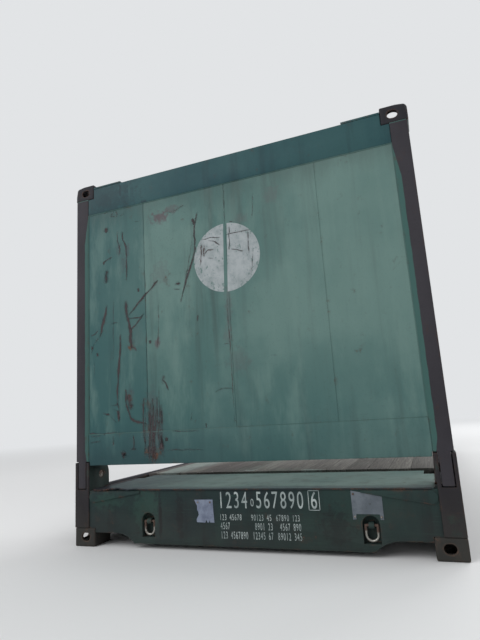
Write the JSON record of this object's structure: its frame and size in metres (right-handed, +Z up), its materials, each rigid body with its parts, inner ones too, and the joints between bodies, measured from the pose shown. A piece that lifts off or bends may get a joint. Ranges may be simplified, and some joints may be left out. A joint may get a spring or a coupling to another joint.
{
  "type": "collapsible flat rack shipping container",
  "caption": "Low steel freight base with a timber floor, and an end wall at each end that folds inward on pinned posts between corner castings.",
  "frame": {"origin": "on the ground under the middle of the rack", "axes": "+X along the length, away from the end that the picture shows, +Y towards that end's left side, +Z up"},
  "size_m": [6.058, 2.438, 2.591],
  "materials": {
    "wall_paint": "weathered green paint, scratched and rust streaked",
    "header_paint": "dark green paint, chipped at the edges",
    "post_paint": "green paint mostly worn away to brown rust",
    "base_paint": "dark green paint with road dirt and rust",
    "deck_paint": "pale worn green paint with dust and rust patches",
    "deck_timber": "stained grey brown planks",
    "bare_steel": "bare worn steel with rust film"
  },
  "bodies": {
    "base": {"side_rail_left": "base_paint", "side_rail_right": "base_paint", "end_sill_front": "base_paint", "end_sill_rear": "base_paint", "cross_members": "base_paint", "fork_pockets": "base_paint", "timber_floor": "deck_timber", "deck_plate_front": "deck_paint", "deck_plate_rear": "deck_paint", "casting_base_front_left": "base_paint", "casting_base_front_right": "base_paint", "casting_base_rear_left": "base_paint", "casting_base_rear_right": "base_paint", "hinge_stub_front_left": "base_paint", "hinge_stub_front_right": "base_paint", "hinge_stub_rear_left": "base_paint", "hinge_stub_rear_right": "base_paint", "hinge_pins": "bare_steel"},
    "wall_front": {"post_front_left": "post_paint", "post_front_right": "post_paint", "header_front": "header_paint", "header_plates_front": "header_paint", "bottom_rail_front": "wall_paint", "panel_front": "wall_paint", "stiffeners_front": "wall_paint", "casting_top_front_left": "header_paint", "casting_top_front_right": "header_paint"},
    "wall_rear": {"post_rear_left": "post_paint", "post_rear_right": "post_paint", "header_rear": "header_paint", "header_plates_rear": "header_paint", "bottom_rail_rear": "wall_paint", "panel_rear": "wall_paint", "stiffeners_rear": "wall_paint", "casting_top_rear_left": "header_paint", "casting_top_rear_right": "header_paint"},
    "ring_front_left": {"ring_front_left": "bare_steel"},
    "ring_front_right": {"ring_front_right": "bare_steel"},
    "ring_rear_left": {"ring_rear_left": "bare_steel"},
    "ring_rear_right": {"ring_rear_right": "bare_steel"}
  },
  "joints": [
    {"name": "wall_front_fold", "type": "hinge", "parent": "base", "child": "wall_front", "pos_m": [-2.889, 0, 0.45], "axis": [0, 1, 0], "range_deg": [0, 90]},
    {"name": "wall_rear_fold", "type": "hinge", "parent": "base", "child": "wall_rear", "pos_m": [2.889, 0, 0.45], "axis": [0, -1, 0], "range_deg": [0, 90]},
    {"name": "ring_front_left_swing", "type": "hinge", "parent": "base", "child": "ring_front_left", "pos_m": [-3.002, 0.648, 0.165], "axis": [0, 1, 0], "range_deg": [-10, 120]},
    {"name": "ring_front_right_swing", "type": "hinge", "parent": "base", "child": "ring_front_right", "pos_m": [-3.002, -0.745, 0.165], "axis": [0, 1, 0], "range_deg": [-10, 120]},
    {"name": "ring_rear_left_swing", "type": "hinge", "parent": "base", "child": "ring_rear_left", "pos_m": [3.002, -0.648, 0.165], "axis": [0, -1, 0], "range_deg": [-10, 120]},
    {"name": "ring_rear_right_swing", "type": "hinge", "parent": "base", "child": "ring_rear_right", "pos_m": [3.002, 0.745, 0.165], "axis": [0, -1, 0], "range_deg": [-10, 120]}
  ]
}
